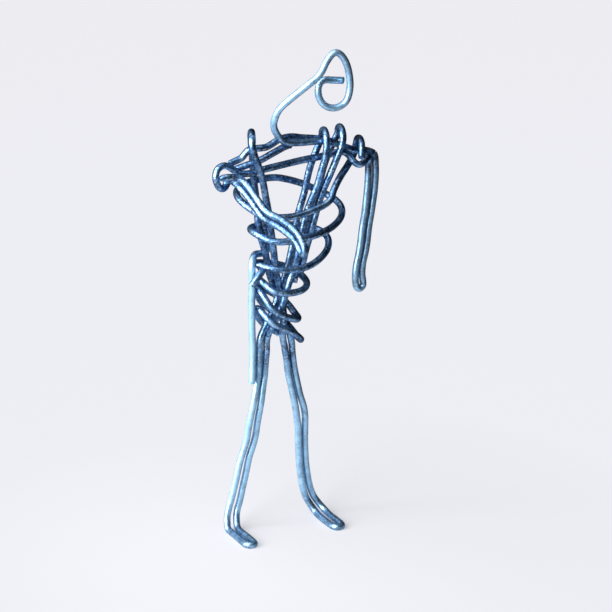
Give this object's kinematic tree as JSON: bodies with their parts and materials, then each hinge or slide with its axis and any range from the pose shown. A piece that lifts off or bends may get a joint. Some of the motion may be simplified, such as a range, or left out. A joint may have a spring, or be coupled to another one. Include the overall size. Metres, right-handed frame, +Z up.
{
  "type": "wire figure",
  "caption": "Standing human figure bent from lengths of soft wire, with hairpin legs and arms, a looped head, and wire wound round the chest and hips; limbs pose at their bends.",
  "frame": {"origin": "centre of the bounding box's bottom face, on the surface the figure stands on", "axes": "+Z up along the figure, -Y the way it faces, +X to the right as the figure is seen from the front; left and right in all names are as seen from the front"},
  "size_m": [0.0524, 0.0464, 0.1474],
  "materials": {
    "wire": "bare drawn wire, satin, cool blue-grey"
  },
  "bodies": {
    "torso": {"left_strap": "wire", "right_strap_inner": "wire", "right_strap_outer": "wire", "yoke_upper": "wire", "yoke_middle": "wire", "yoke_lower": "wire", "chest_wrap": "wire", "hip_wrap": "wire", "side_wire": "wire"},
    "head": {"head_wire": "wire"},
    "left_arm": {"left_arm": "wire"},
    "right_arm": {"right_arm": "wire"},
    "left_leg": {"left_leg": "wire"},
    "right_leg": {"right_leg": "wire"}
  },
  "joints": [
    {"name": "head_nod", "type": "hinge", "parent": "torso", "child": "head", "pos_m": [-0.00262, 0.00867, 0.1195], "axis": [0.9968, 0, -0.0797], "range_deg": [-20, 35]},
    {"name": "left_arm_swing", "type": "hinge", "parent": "torso", "child": "left_arm", "pos_m": [-0.02022, 0.00907, 0.1106], "axis": [-1, 0, 0], "range_deg": [-35, 30]},
    {"name": "right_arm_swing", "type": "hinge", "parent": "torso", "child": "right_arm", "pos_m": [0.02288, 0.01007, 0.1085], "axis": [-1, 0, 0], "range_deg": [-60, 90]},
    {"name": "left_hip_swing", "type": "hinge", "parent": "torso", "child": "left_leg", "pos_m": [-0.00632, 0.01667, 0.0545], "axis": [-1, 0, 0], "range_deg": [-30, 60]},
    {"name": "right_hip_swing", "type": "hinge", "parent": "torso", "child": "right_leg", "pos_m": [-0.00052, 0.01667, 0.0545], "axis": [-1, 0, 0], "range_deg": [-30, 60]}
  ]
}
